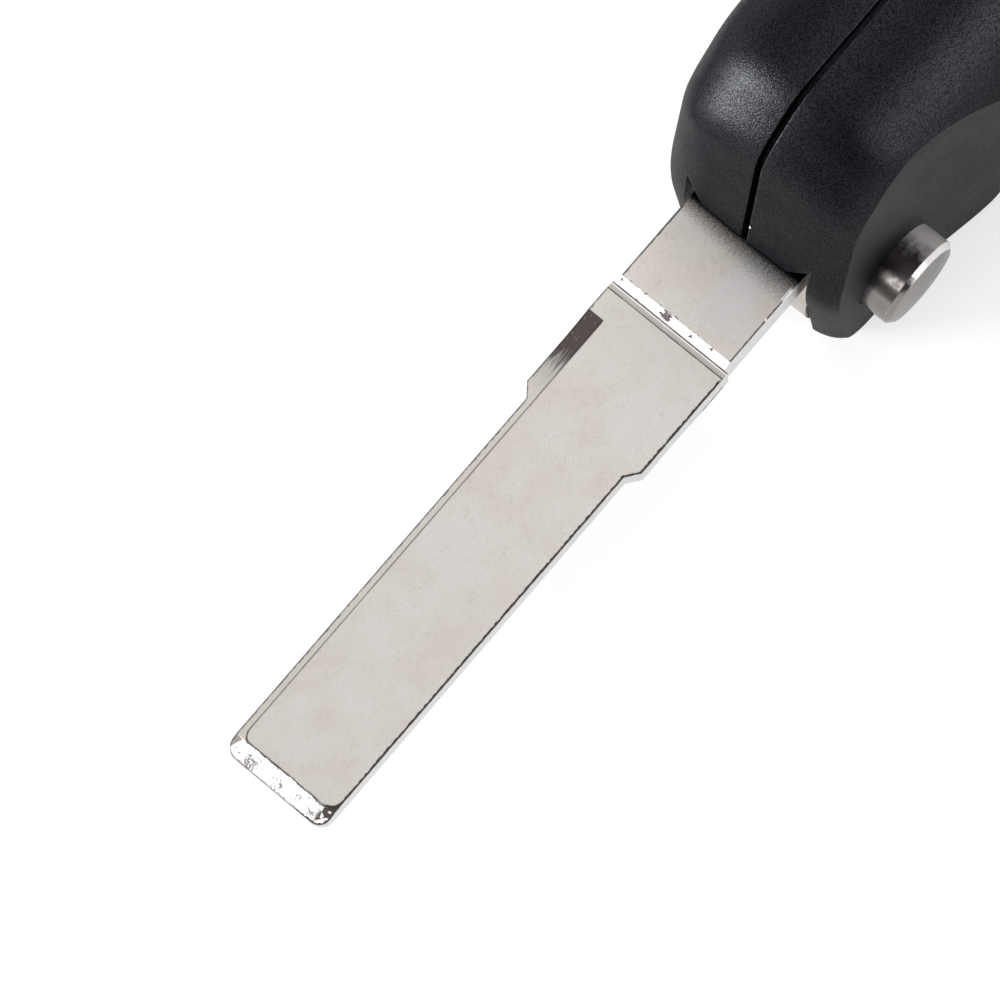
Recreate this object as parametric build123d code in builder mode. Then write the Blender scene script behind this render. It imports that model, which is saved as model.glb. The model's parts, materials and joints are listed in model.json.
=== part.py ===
from build123d import *
import math
import os

os.makedirs("parts", exist_ok=True)

# Everything is placed from the pivot axis of the blade and from the seam between the two shells:
# x runs forward along the open blade, y from the seam towards the release button, z upwards.
# The key stands on the lips of its blade slot.

# Case
case_front = 6.25
case_rear = 64.0
case_above = 23.6
case_below = 7.5
front_half = 8.5
back_half = 8.3
end_round = 4.0
top_round = 8.0
bottom_round = 2.6
rear_round = 4.0
rest_land_depth = 0.15
wall = 1.6
seam_gap = 0.5
seam_groove_depth = 0.8
nose_bulge = 0.75
shoulder_back = 1.8
shoulder_fall = 3.8
brow_reach = 3.8
tail_reach = 18.0
tail_fall = 8.6
nose_radius = 3.0
bulge_radius = 20.0
shoulder_radius = 5.0
brow_radius = 4.0
back_radius = 20.0
tail_radius = 8.0
heel_radius = 6.0
section_angles = [0, 15, 30, 45, 60, 75, 90]

# Scoop round the release button
ear_pad = 7.1
scoop_start = 1.0
scoop_length = 9.0
scoop_runoff = 0.15

# Blade, flat and uncut, in its rest position
blade_top = 6.4
blade_thickness = 2.2
shoulder_width = 9.5
blade_width = 8.1
blade_length = 38.75
shoulder_length = 8.45
shoulder_ramp = 0.9
rebate_width = 0.55
rebate_depth = 0.3
cutter_radius = 12.0
runout_start = 2.4
tip_band = 1.3
tip_fall = 0.5
tip_radius = 0.9
panel_radius = 0.7
root_groove = 0.5
root_groove_depth = 0.15
tang_width = 6.0
tang_thickness = 1.2
tang_length = 7.0

# Hub with its neck
hub_radius = 6.2
hub_width = 9.8
neck_width = 9.0
neck_reach = 13.55
neck_rise = 0.25
neck_chamfer_length = 0.6
neck_chamfer_drop = 0.24
neck_start = 2.6
neck_root_radius = 1.0
journal_radius = 2.5
journal_length = 1.9
hub_floor = 1.5
pin_radius = 0.8
pin_bore_radius = 0.42
pin_slit = 0.3
pin_reach = 9.8
pin_cover = 0.6

# Clearances
turning_clearance = 0.35
side_clearance = 0.15
running_clearance = 0.05
seat_clearance = 0.02
slot_clearance = 0.85
mouth_clearance = 0.45
relief_width = 1.6
relief_height = 2.0
window_clearance = 0.2
board_clearance = 0.15

# Release button and its spring
button_radius = 3.3
button_stand = 2.6
button_travel = 1.5
button_edge = 0.35
button_dome = 0.25
button_crown = 4.1
button_skirt_wall = 0.7
button_skirt_end = 0.9
lug_radius = 4.35
lug_width = 2.0
lug_height = 1.45
spring_wire = 0.6
spring_turns = 5
spring_clearance = 0.25

# Remote buttons and keypad
key_names = ["lock", "unlock", "trunk"]
key_length = 9.0
key_height = 11.0
key_corner = 2.5
key_stand = 0.4
key_flange = 0.7
key_flange_thickness = 0.65
key_edge = 0.3
key_pitch = 11.5
key_start = 19.5
key_level = 5.3
keypad_thickness = 0.6
keypad_margin = 1.2
keypad_rim = 1.0
dome_radius = 3.0
dome_height = 0.5
nub_radius = 1.0

# Electronics bay and board
slot_depth = 4.6
bay_front = 9.0
bay_tail = 10.5
bay_floor = 1.2
bay_corner = 1.5
bay_tail_fall = 3.6
bay_tail_reach = 7.0
ledge_height = 2.6
ledge_width = 0.8
board_thickness = 1.0
switch_size = 4.5
switch_height = 1.3
switch_corner = 0.3
plunger_radius = 1.2
plunger_height = 0.3
cell_radius = 10.0
cell_thickness = 3.2
cell_reach = 24.0
cell_margin = 0.4
cell_cap_radius = 8.8
cell_cap_height = 0.3
contact_thickness = 0.3
contact_width = 5.0
contact_gap = 1.4
cradle_play = 0.2
cradle_wall = 0.8
cradle_drop = 1.0
pillar_radius = 1.2
pillar_places = [(-36.6, 18.2), (-36.6, -0.2), (-51.3, 0.6), (-11.3, 18.2), (-11.3, 0.6)]
controller_place = (-43.0, 4.5)
controller_size = 6.0
controller_height = 0.9
lead_count = 5
lead_pitch = 1.1
lead_width = 0.35
lead_length = 0.6
lead_thickness = 0.2
radio_place = (-48.6, 14.4)
radio_size = 5.0
radio_height = 1.3
crystal_place = (-42.0, 12.6)
crystal_length = 3.2
crystal_width = 2.5
crystal_height = 0.8
can_corner = 0.4
can_edge = 0.2
coil_place = (-25.0, 16.3)
coil_length = 10.0
coil_width = 3.2
coil_height = 2.4
coil_flange = 1.4
coil_waist = 0.5
led_gap = 3.3
led_level = 9.0
led_length = 1.6
led_width = 0.8
led_height = 0.8
light_pipe_radius = 0.9
light_pipe_flange = 1.3
light_pipe_flange_thickness = 0.6

# Screws, key ring eye and transponder
screw_names = ["front", "rear"]
front_screw_reach = 5.5
front_screw_level = 11.5
rear_screw_inset = 7.2
rear_screw_level = 0.6
screw_radius = 0.95
screw_hole_radius = 1.1
screw_head_radius = 1.9
screw_head_height = 1.1
screw_grip = 4.5
screw_socket_width = 1.4
screw_socket_depth = 0.7
screw_point = 0.4
eye_inset = 5.8
eye_level = 10.5
eye_radius = 2.6
eye_wall = 10.0
eye_sink_radius = 3.8
chip_length = 9.0
chip_height = 3.6
chip_thickness = 3.0
chip_reach = 3.2
chip_level = 16.5
chip_corner = 0.5

# Places that follow from the sizes above
blade_root = neck_reach
tip_reach = neck_reach + blade_length
button_face = ear_pad + button_stand
pivot_x = (case_rear - tip_reach) / 2
seam_y = (back_half - button_face) / 2
pivot_z = case_below
bay_rear = case_rear - bay_tail
slot_half = hub_width / 2 + side_clearance
slot_roof = slot_depth - case_below
slot_end = tip_reach + slot_clearance
blade_under = blade_top - blade_thickness
blade_middle = blade_top - blade_thickness / 2
neck_top = blade_top + neck_rise
neck_under = blade_under - neck_rise
mouth_roof = neck_top + mouth_clearance
chamber_radius = hub_radius + turning_clearance
bay_bottom = slot_roof + bay_floor
board_front = ledge_height - seat_clearance
board_back = board_front - board_thickness
back_mount = board_back - seat_clearance
front_inner = front_half - wall
back_inner = back_half - wall
key_flange_top = front_inner - running_clearance
key_flange_base = key_flange_top - key_flange_thickness
keypad_top = key_flange_base - dome_height - running_clearance
keypad_base = keypad_top - keypad_thickness
switch_top = ledge_height + switch_height + plunger_height
led_top = ledge_height + led_height
minus_contact_back = -back_inner + seat_clearance
cell_back = minus_contact_back + contact_thickness + seat_clearance
cell_front = cell_back + cell_thickness
plus_contact_back = cell_front + seat_clearance
cell_level = bay_bottom + cell_margin + cell_radius
cradle_top = cradle_drop - cell_front
socket_radius = button_radius + running_clearance
socket_floor = hub_floor - hub_width / 2
journal_end = hub_width / 2 + journal_length
tang_end = blade_root - tang_length
shoulder_end = blade_root + shoulder_length
panel_end = tip_reach - tip_band
runout_end = blade_root + runout_start + math.sqrt(rebate_depth * (2 * cutter_radius - rebate_depth))
lug_top = slot_half - running_clearance
lug_base = lug_top - lug_height
key_places = [-key_start - index * key_pitch for index in range(len(key_names))]
led_reach = led_gap + key_flange + key_length / 2 - key_places[-1]
eye_reach = case_rear - eye_inset
screw_places = [(-front_screw_reach, front_screw_level), (rear_screw_inset - case_rear, rear_screw_level)]
screw_seat = screw_head_height - back_half
front_plane = Plane(origin=(pivot_x, seam_y, pivot_z), x_dir=(0, 1, 0), z_dir=(1, 0, 0))


def side_plane(y):
    """Plane parallel to the seam and y from it, its origin on the pivot axis, facing back."""
    return Plane(origin=(pivot_x, seam_y + y, pivot_z), x_dir=(1, 0, 0), z_dir=(0, -1, 0))


def plan_plane(z):
    """Level plane z above the pivot axis, its origin on the seam."""
    return Plane(origin=(pivot_x, seam_y, pivot_z + z), x_dir=(1, 0, 0), z_dir=(0, 0, 1))


def edge_round(y, half):
    """Share of its rounding that an elliptic edge has drawn in by, at y from the seam."""
    return 1 - math.sqrt(max(0.0, 1 - (y / half) ** 2))


def corner_round(y, half, radius):
    """How far a round corner of the radius, next to the face at half, has drawn in at y."""
    return radius * edge_round(max(0.0, abs(y) + radius - half), radius)


def case_section(y, half, shrink=0.0):
    """Side outline of the case at y, drawn in by its round edges and shrunk all round."""
    front = case_front - corner_round(y, half, end_round) - shrink
    rear = rear_round * edge_round(y, half) + shrink - case_rear
    top = case_above - top_round * edge_round(y, half) - shrink
    bottom = corner_round(y, half, bottom_round) + shrink - case_below - rest_land_depth
    shoulder = (front - shoulder_back, top - shoulder_fall)
    with BuildSketch(side_plane(y)) as section:
        with BuildLine():
            FilletPolyline(
                (front - nose_bulge, bottom),
                (front + nose_bulge / 4, (bottom + shoulder[1]) / 2),
                shoulder,
                (shoulder[0] - brow_reach, top),
                (rear + tail_reach, top),
                (rear, top - tail_fall),
                (rear, bottom),
                radius=[
                    nose_radius,
                    bulge_radius,
                    shoulder_radius,
                    brow_radius,
                    back_radius,
                    tail_radius,
                    heel_radius,
                ],
                close=True,
            )
        make_face()
    return section.sketch


def bay_section(y, drawn_in, shrink=0.0):
    """Outline of the electronics bay at y, its top following the case."""
    top = case_above - wall - top_round * drawn_in - shrink
    front = -bay_front - shrink
    rear = shrink - bay_rear
    floor = bay_bottom + shrink
    with BuildSketch(side_plane(y)) as section:
        with BuildLine():
            FilletPolyline(
                (front, floor),
                (front, top),
                (rear + bay_tail_reach, top),
                (rear, top - bay_tail_fall),
                (rear, floor),
                radius=bay_corner,
                close=True,
            )
        make_face()
    return section.sketch


def side_block(x, z, length, height, y, corner=0.0):
    """Rectangle on the side plane at y, centred x and z from the pivot axis."""
    with BuildSketch(side_plane(y)) as block:
        with Locations((x, z)):
            if corner > 0:
                RectangleRounded(length, height, corner)
            else:
                Rectangle(length, height)
    return block.sketch


def side_disc(radius, x, z, y):
    """Circle on the side plane at y, centred x and z from the pivot axis."""
    with BuildSketch(side_plane(y)) as disc:
        with Locations((x, z)):
            Circle(radius)
    return disc.sketch


def plan_block(x_low, x_high, y_low, y_high, z):
    """Rectangle on the level plane at z, between the given limits from pivot and seam."""
    with BuildSketch(plan_plane(z)) as block:
        with Locations(((x_low + x_high) / 2, (y_low + y_high) / 2)):
            Rectangle(x_high - x_low, y_high - y_low)
    return block.sketch


def add_case_half(half, side):
    """Rounded half of the case from the seam to its face, with a flat land to stand on."""
    sections = []
    for angle in section_angles:
        sections.append(case_section(side * half * math.sin(math.radians(angle)), half))
    loft(sections)
    below = plan_block(-2 * case_rear, case_rear, -2 * half, 2 * half, -case_below)
    extrude(below, amount=-2 * rest_land_depth, mode=Mode.SUBTRACT)
    with BuildSketch(side_plane(0)) as rim:
        Rectangle(4 * case_rear, 4 * case_rear)
        add(side_plane(0).to_local_coords(case_section(0, half, seam_groove_depth)), mode=Mode.SUBTRACT)
    extrude(rim.sketch, amount=-side * seam_gap / 2, mode=Mode.SUBTRACT)


def cut_blade_space(side):
    """Room for the turning hub, the mouth with its relieved corner and the folded blade's slot."""
    deep = 2 * case_below
    ahead = 2 * case_front
    mouth = side_block(ahead / 2, (mouth_roof - deep) / 2, ahead, mouth_roof + deep, 0)
    slot = side_block((ahead - slot_end) / 2, (slot_roof - deep) / 2, ahead + slot_end, slot_roof + deep, 0)
    for shape in (side_disc(chamber_radius, 0, 0, 0), mouth, slot):
        extrude(shape, amount=-side * slot_half, mode=Mode.SUBTRACT)
    corner = side * slot_half
    start = side * (slot_half - relief_width)
    with BuildSketch(front_plane) as relief:
        with BuildLine():
            Polyline(
                (corner, mouth_roof - relief_height),
                (corner, mouth_roof + relief_height),
                (start, mouth_roof),
                (start, mouth_roof - relief_height),
                close=True,
            )
        make_face()
    extrude(relief.sketch, amount=ahead, mode=Mode.SUBTRACT)


def cut_bay(half, inner, side, ledge):
    """Electronics bay, narrower past the ledge height by the width of the ledge."""
    rim = bay_section(0, edge_round(ledge_height, half))
    extrude(rim, amount=-side * ledge_height, mode=Mode.SUBTRACT)
    sections = []
    for height in (ledge_height, (ledge_height + inner) / 2, inner):
        sections.append(bay_section(side * height, edge_round(height, half), ledge))
    loft(sections, mode=Mode.SUBTRACT)


def cut_eye_and_pocket(half, side):
    """This half of the sunk key ring eye and of the pocket that holds the transponder."""
    extrude(side_disc(eye_radius, -eye_reach, eye_level, 0), amount=-side * half, mode=Mode.SUBTRACT)
    sink = side_disc(eye_sink_radius, -eye_reach, eye_level, side * eye_wall / 2)
    extrude(sink, amount=-side * half, mode=Mode.SUBTRACT)
    play = 2 * seat_clearance
    pocket = side_block(-chip_reach, chip_level, chip_length + play, chip_height + play, 0)
    extrude(pocket, amount=-side * (chip_thickness + play) / 2, mode=Mode.SUBTRACT)


with BuildPart() as front_shell:
    add_case_half(front_half, 1)
    with BuildSketch(plan_plane(0)) as scoop:
        with BuildLine():
            start = (-scoop_start, ear_pad)
            end = (-scoop_start - scoop_length, front_half + scoop_runoff)
            corner = (2 * case_front, 2 * front_half)
            Spline(start, end, tangents=[(-1, 0), (-1, scoop_runoff)])
            Polyline(end, (end[0], corner[1]), corner, (corner[0], ear_pad), start)
        make_face()
    extrude(scoop.sketch, amount=2 * case_above, both=True, mode=Mode.SUBTRACT)
    cut_blade_space(1)
    cut_bay(front_half, front_inner, 1, ledge_width)
    cut_eye_and_pocket(front_half, 1)
    extrude(side_disc(socket_radius, 0, 0, 0), amount=-front_half, mode=Mode.SUBTRACT)
    for place in key_places:
        window = side_block(place, key_level, key_length, key_height, 0, key_corner)
        extrude(window, amount=-2 * front_half, mode=Mode.SUBTRACT)
    pipe_hole = side_disc(light_pipe_radius + seat_clearance, -led_reach, led_level, 0)
    extrude(pipe_hole, amount=-2 * front_half, mode=Mode.SUBTRACT)
    for x, z in screw_places:
        pilot = side_disc(screw_radius + seat_clearance, x, z, 0)
        extrude(pilot, amount=-screw_grip - seat_clearance, mode=Mode.SUBTRACT)
front_shell.part.label = "front_shell"
export_step(front_shell.part, "parts/front_shell.step")


with BuildPart() as back_shell:
    add_case_half(back_half, -1)
    cut_blade_space(-1)
    cut_bay(back_half, back_inner, -1, 0.0)
    cut_eye_and_pocket(back_half, -1)
    journal_bore = side_disc(journal_radius + running_clearance, 0, 0, 0)
    extrude(journal_bore, amount=journal_end + side_clearance, mode=Mode.SUBTRACT)
    for x, z in pillar_places:
        pillar = side_disc(pillar_radius, x, z, back_mount)
        extrude(pillar, amount=back_mount + back_inner + wall / 4)
    with BuildSketch(side_plane(-cradle_top)) as cradle:
        with Locations((-cell_reach, cell_level)):
            Circle(cell_radius + cradle_play + cradle_wall)
            Circle(cell_radius + cradle_play, mode=Mode.SUBTRACT)
            Rectangle(4 * cell_radius, contact_width + 2 * cradle_wall, mode=Mode.SUBTRACT)
    extrude(cradle.sketch, amount=back_inner + wall / 4 - cradle_top)
    for x, z in screw_places:
        extrude(side_disc(screw_hole_radius, x, z, 0), amount=back_half, mode=Mode.SUBTRACT)
        sink = side_disc(screw_head_radius + running_clearance, x, z, screw_seat)
        extrude(sink, amount=2 * screw_head_height, mode=Mode.SUBTRACT)
back_shell.part.label = "back_shell"
export_step(back_shell.part, "parts/back_shell.step")


with BuildPart() as blade:
    side = blade_width / 2
    wide = shoulder_width / 2
    with BuildSketch(plan_plane(blade_under)):
        with BuildLine():
            Polyline(
                (blade_root, wide),
                (shoulder_end, wide),
                (shoulder_end + shoulder_ramp, side),
                (tip_reach, side),
                (tip_reach, -side),
                (shoulder_end + shoulder_ramp, -side),
                (shoulder_end, -wide),
                (blade_root, -wide),
                close=True,
            )
        make_face()
    extrude(amount=blade_thickness)
    fillet(blade.edges().filter_by(Axis.Z).group_by(Axis.X)[-1], tip_radius)
    for turn in (1, -1):
        face = blade_middle + turn * blade_thickness / 2
        with BuildSketch(plan_plane(face)) as panel:
            Rectangle(4 * tip_reach, 4 * shoulder_width)
            with Locations((panel_end - 2 * tip_reach, turn * (rebate_width - side + shoulder_width))):
                RectangleRounded(4 * tip_reach, 2 * shoulder_width, panel_radius, mode=Mode.SUBTRACT)
            with Locations((runout_end - 2 * tip_reach, 0)):
                Rectangle(4 * tip_reach, 4 * shoulder_width, mode=Mode.SUBTRACT)
        extrude(panel.sketch, amount=-turn * rebate_depth, mode=Mode.SUBTRACT)
        axle = face + turn * (cutter_radius - rebate_depth)
        cutter = side_disc(cutter_radius, runout_end, axle, turn * (rebate_width - side))
        extrude(cutter, amount=turn * shoulder_width, mode=Mode.SUBTRACT)
        with BuildSketch(side_plane(wide)) as tip:
            with BuildLine():
                Polyline(
                    (panel_end, face - turn * rebate_depth),
                    (tip_reach, face - turn * (rebate_depth + tip_fall)),
                    (tip_reach + tip_band, face - turn * (rebate_depth + tip_fall)),
                    (tip_reach + tip_band, face + turn * rebate_depth),
                    (panel_end, face + turn * rebate_depth),
                    close=True,
                )
            make_face()
        extrude(tip.sketch, amount=shoulder_width, mode=Mode.SUBTRACT)
        groove = plan_block(blade_root - root_groove, blade_root + root_groove, -wide, wide, face)
        extrude(groove, amount=-turn * root_groove_depth, mode=Mode.SUBTRACT)
    tang = plan_block(tang_end, blade_root, -tang_width / 2, tang_width / 2, blade_middle)
    extrude(tang, amount=tang_thickness / 2, both=True)
    with BuildSketch(plan_plane(blade_under)) as pin_hole:
        with Locations((pin_reach, 0)):
            Circle(pin_radius + seat_clearance)
    extrude(pin_hole.sketch, amount=blade_thickness, mode=Mode.SUBTRACT)
blade.part.label = "blade"
export_step(blade.part, "parts/blade.step")


with BuildPart() as blade_hub:
    extrude(side_disc(hub_radius, 0, 0, hub_width / 2), amount=hub_width)
    extrude(side_disc(journal_radius, 0, 0, 0), amount=journal_end)
    with BuildSketch(side_plane(neck_width / 2)) as neck:
        with BuildLine():
            Polyline(
                (neck_start, neck_under),
                (neck_reach - neck_chamfer_length, neck_under),
                (neck_reach, neck_under + neck_chamfer_drop),
                (neck_reach, neck_top - neck_chamfer_drop),
                (neck_reach - neck_chamfer_length, neck_top),
                (neck_start, neck_top),
                close=True,
            )
        make_face()
    extrude(neck.sketch, amount=neck_width)
    top_edges = blade_hub.edges().filter_by(Axis.Y).group_by(Axis.Z)[-1]
    fillet(top_edges.sort_by(Axis.X)[0], neck_root_radius)
    extrude(side_disc(socket_radius, 0, 0, socket_floor), amount=-hub_width, mode=Mode.SUBTRACT)
    channel_floor = lug_base - button_travel - side_clearance
    channel_width = lug_width + 2 * running_clearance
    channel = side_block(0, 0, channel_width, 2 * (lug_radius + side_clearance), channel_floor)
    extrude(channel, amount=-hub_width, mode=Mode.SUBTRACT)
    tang_room = tang_width / 2 + seat_clearance
    tang_slot = plan_block(tang_end - seat_clearance, 2 * neck_reach, -tang_room, tang_room, blade_middle)
    extrude(tang_slot, amount=tang_thickness / 2 + seat_clearance, both=True, mode=Mode.SUBTRACT)
    with BuildSketch(plan_plane(neck_under)) as pin_bore:
        with Locations((pin_reach, 0)):
            Circle(pin_radius + seat_clearance)
    extrude(pin_bore.sketch, amount=neck_top - neck_under - pin_cover, mode=Mode.SUBTRACT)
blade_hub.part.label = "blade_hub"
export_step(blade_hub.part, "parts/blade_hub.step")


with BuildPart() as blade_pin:
    with BuildSketch(plan_plane(neck_under)):
        with Locations((pin_reach, 0)):
            Circle(pin_radius)
            Circle(pin_bore_radius, mode=Mode.SUBTRACT)
        with Locations((pin_reach + pin_radius, 0)):
            Rectangle(2 * pin_radius, pin_slit, mode=Mode.SUBTRACT)
    extrude(amount=neck_top - neck_under - pin_cover - seat_clearance)
blade_pin.part.label = "blade_pin"
export_step(blade_pin.part, "parts/blade_pin.step")


with BuildPart() as flip_spring:
    room = button_crown - socket_floor - 2 * seat_clearance - spring_wire
    coil_radius = button_radius - button_skirt_wall - spring_clearance - spring_wire / 2
    foot = seam_y + socket_floor + seat_clearance + spring_wire / 2
    with BuildLine() as coil:
        Helix(room / spring_turns, room, coil_radius, center=(pivot_x, foot, pivot_z), direction=(0, 1, 0))
    with BuildSketch(Plane(origin=coil.line @ 0, z_dir=coil.line % 0)):
        Circle(spring_wire / 2)
    sweep(is_frenet=True)
flip_spring.part.label = "flip_spring"
export_step(flip_spring.part, "parts/flip_spring.step")


with BuildPart() as release_button:
    with BuildSketch(plan_plane(0)):
        with BuildLine():
            rim = button_face - button_dome
            inside = button_radius - button_skirt_wall
            ThreePointArc(
                (0, button_face),
                (button_radius / 2, button_face - button_dome / 4),
                (button_radius - button_edge, rim),
            )
            Polyline(
                (button_radius - button_edge, rim),
                (button_radius, rim - button_edge),
                (button_radius, button_skirt_end),
                (inside, button_skirt_end),
                (inside, button_crown),
                (0, button_crown),
                (0, button_face),
            )
        make_face()
    revolve(axis=Axis((pivot_x, seam_y, pivot_z), (0, 1, 0)))
    with BuildSketch(side_plane(lug_top)):
        Rectangle(lug_width, 2 * lug_radius)
        Circle(button_radius - running_clearance, mode=Mode.SUBTRACT)
    extrude(amount=lug_height)
release_button.part.label = "release_button"
export_step(release_button.part, "parts/release_button.step")


for name, place in zip(key_names, key_places):
    with BuildPart() as key_cap:
        length = key_length - 2 * window_clearance
        height = key_height - 2 * window_clearance
        corner = key_corner - window_clearance
        rim = 2 * key_flange
        flange_corner = corner + key_flange
        flange = side_block(place, key_level, length + rim, height + rim, key_flange_top, flange_corner)
        extrude(flange, amount=key_flange_thickness)
        key_face = front_half + key_stand
        cap = side_block(place, key_level, length, height, key_face, corner)
        extrude(cap, amount=key_face - key_flange_top)
        top_edges = key_cap.faces().sort_by(Axis.Y)[-1].edges()
        fillet(top_edges, key_edge)
    key_cap.part.label = name + "_button"
    export_step(key_cap.part, "parts/" + name + "_button.step")

    with BuildPart() as switch:
        body_top = ledge_height + switch_height
        body = side_block(place, key_level, switch_size, switch_size, body_top, switch_corner)
        extrude(body, amount=switch_height)
        extrude(side_disc(plunger_radius, place, key_level, switch_top), amount=plunger_height)
        chamfer(switch.faces().sort_by(Axis.Y)[-1].edges(), plunger_height / 3)
    switch.part.label = name + "_switch"
    export_step(switch.part, "parts/" + name + "_switch.step")


with BuildPart() as keypad:
    middle = (key_places[0] + key_places[-1]) / 2
    pad_length = key_places[0] - key_places[-1] + key_length + 2 * keypad_margin
    pad_height = key_height + key_flange
    sheet = side_block(middle, key_level, pad_length, pad_height, keypad_top, key_corner)
    extrude(sheet, amount=keypad_top - ledge_height)
    inner_length = pad_length - 2 * keypad_rim
    inner_height = pad_height - 2 * keypad_rim
    inner_corner = key_corner - keypad_rim
    under = side_block(middle, key_level, inner_length, inner_height, keypad_base, inner_corner)
    extrude(under, amount=keypad_base, mode=Mode.SUBTRACT)
    for place in key_places:
        extrude(side_disc(dome_radius, place, key_level, keypad_top + dome_height), amount=dome_height)
        nub = side_disc(nub_radius, place, key_level, keypad_base)
        extrude(nub, amount=keypad_base - switch_top - running_clearance)
keypad.part.label = "keypad"
export_step(keypad.part, "parts/keypad.step")


with BuildPart() as circuit_board:
    drawn_in = edge_round(ledge_height, front_half)
    board = bay_section(ledge_height - seat_clearance, drawn_in, board_clearance)
    extrude(board, amount=board_thickness - 2 * seat_clearance)
circuit_board.part.label = "circuit_board"
export_step(circuit_board.part, "parts/circuit_board.step")


with BuildPart() as controller_chip:
    x, z = controller_place
    extrude(side_block(x, z, controller_size, controller_size, back_mount), amount=controller_height)
    with BuildSketch(side_plane(back_mount)) as leads:
        with Locations((x, z)):
            with GridLocations(lead_pitch, 1, lead_count, 1):
                Rectangle(lead_width, controller_size + 2 * lead_length)
    extrude(leads.sketch, amount=lead_thickness)
controller_chip.part.label = "controller_chip"
export_step(controller_chip.part, "parts/controller_chip.step")


with BuildPart() as radio_module:
    x, z = radio_place
    extrude(side_block(x, z, radio_size, radio_size, back_mount, can_corner), amount=radio_height)
    chamfer(radio_module.faces().sort_by(Axis.Y)[0].edges(), can_edge)
radio_module.part.label = "radio_module"
export_step(radio_module.part, "parts/radio_module.step")


with BuildPart() as crystal:
    x, z = crystal_place
    extrude(side_block(x, z, crystal_length, crystal_width, back_mount, can_corner), amount=crystal_height)
crystal.part.label = "crystal"
export_step(crystal.part, "parts/crystal.step")


with BuildPart() as antenna_coil:
    x, z = coil_place
    top = ledge_height + coil_height
    core = side_block(x, z, coil_length, coil_width - 2 * coil_waist, top - coil_waist)
    extrude(core, amount=coil_height - 2 * coil_waist)
    with BuildSketch(side_plane(top)) as flanges:
        with Locations((x, z)):
            with GridLocations(coil_length - coil_flange, 1, 2, 1):
                Rectangle(coil_flange, coil_width)
    extrude(flanges.sketch, amount=coil_height)
antenna_coil.part.label = "antenna_coil"
export_step(antenna_coil.part, "parts/antenna_coil.step")


with BuildPart() as led:
    extrude(side_block(-led_reach, led_level, led_length, led_width, led_top), amount=led_height)
    chamfer(led.faces().sort_by(Axis.Y)[-1].edges(), led_height / 4)
led.part.label = "led"
export_step(led.part, "parts/led.step")


with BuildPart() as light_pipe:
    pipe = side_disc(light_pipe_radius, -led_reach, led_level, front_half)
    extrude(pipe, amount=front_half - led_top - running_clearance)
    collar = side_disc(light_pipe_flange, -led_reach, led_level, key_flange_top)
    extrude(collar, amount=light_pipe_flange_thickness)
light_pipe.part.label = "light_pipe"
export_step(light_pipe.part, "parts/light_pipe.step")


with BuildPart() as coin_cell:
    cap = side_disc(cell_cap_radius, -cell_reach, cell_level, cell_back + cell_cap_height)
    extrude(cap, amount=cell_cap_height)
    can = side_disc(cell_radius, -cell_reach, cell_level, cell_front)
    extrude(can, amount=cell_thickness - cell_cap_height)
    fillet(coin_cell.edges().group_by(Axis.Y)[-1], cell_cap_height)
coin_cell.part.label = "coin_cell"
export_step(coin_cell.part, "parts/coin_cell.step")


with BuildPart() as minus_contact:
    bend = cell_radius + contact_gap - cell_reach
    base = cell_level - contact_width / 2
    strip = plan_block(-cell_reach, bend, minus_contact_back, minus_contact_back + contact_thickness, base)
    extrude(strip, amount=contact_width)
    leg = plan_block(bend, bend + contact_thickness, minus_contact_back, back_mount, base)
    extrude(leg, amount=contact_width)
minus_contact.part.label = "minus_contact"
export_step(minus_contact.part, "parts/minus_contact.step")


with BuildPart() as plus_contact:
    bend = -cell_radius - contact_gap - cell_reach
    base = cell_level - contact_width / 2
    strip = plan_block(bend, -cell_reach, plus_contact_back, plus_contact_back + contact_thickness, base)
    extrude(strip, amount=contact_width)
    leg = plan_block(bend - contact_thickness, bend, plus_contact_back, back_mount, base)
    extrude(leg, amount=contact_width)
plus_contact.part.label = "plus_contact"
export_step(plus_contact.part, "parts/plus_contact.step")


with BuildPart() as transponder_chip:
    chip = side_block(-chip_reach, chip_level, chip_length, chip_height, chip_thickness / 2, chip_corner)
    extrude(chip, amount=chip_thickness)
transponder_chip.part.label = "transponder_chip"
export_step(transponder_chip.part, "parts/transponder_chip.step")


for name, (x, z) in zip(screw_names, screw_places):
    with BuildPart() as case_screw:
        head = side_disc(screw_head_radius, x, z, screw_seat - seat_clearance)
        extrude(head, amount=screw_head_height - seat_clearance)
        shank = side_disc(screw_radius, x, z, screw_grip)
        extrude(shank, amount=screw_grip - screw_seat + seat_clearance)
        chamfer(case_screw.edges().group_by(Axis.Y)[-1], screw_point)
        with BuildSketch(side_plane(screw_socket_depth - back_half)) as recess:
            with Locations((x, z)):
                RegularPolygon(screw_socket_width / 2, 6)
        extrude(recess.sketch, amount=2 * screw_socket_depth, mode=Mode.SUBTRACT)
    case_screw.part.label = name + "_screw"
    export_step(case_screw.part, "parts/" + name + "_screw.step")
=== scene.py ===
import json

import bmesh
import bpy
from mathutils import Matrix, Vector


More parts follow.
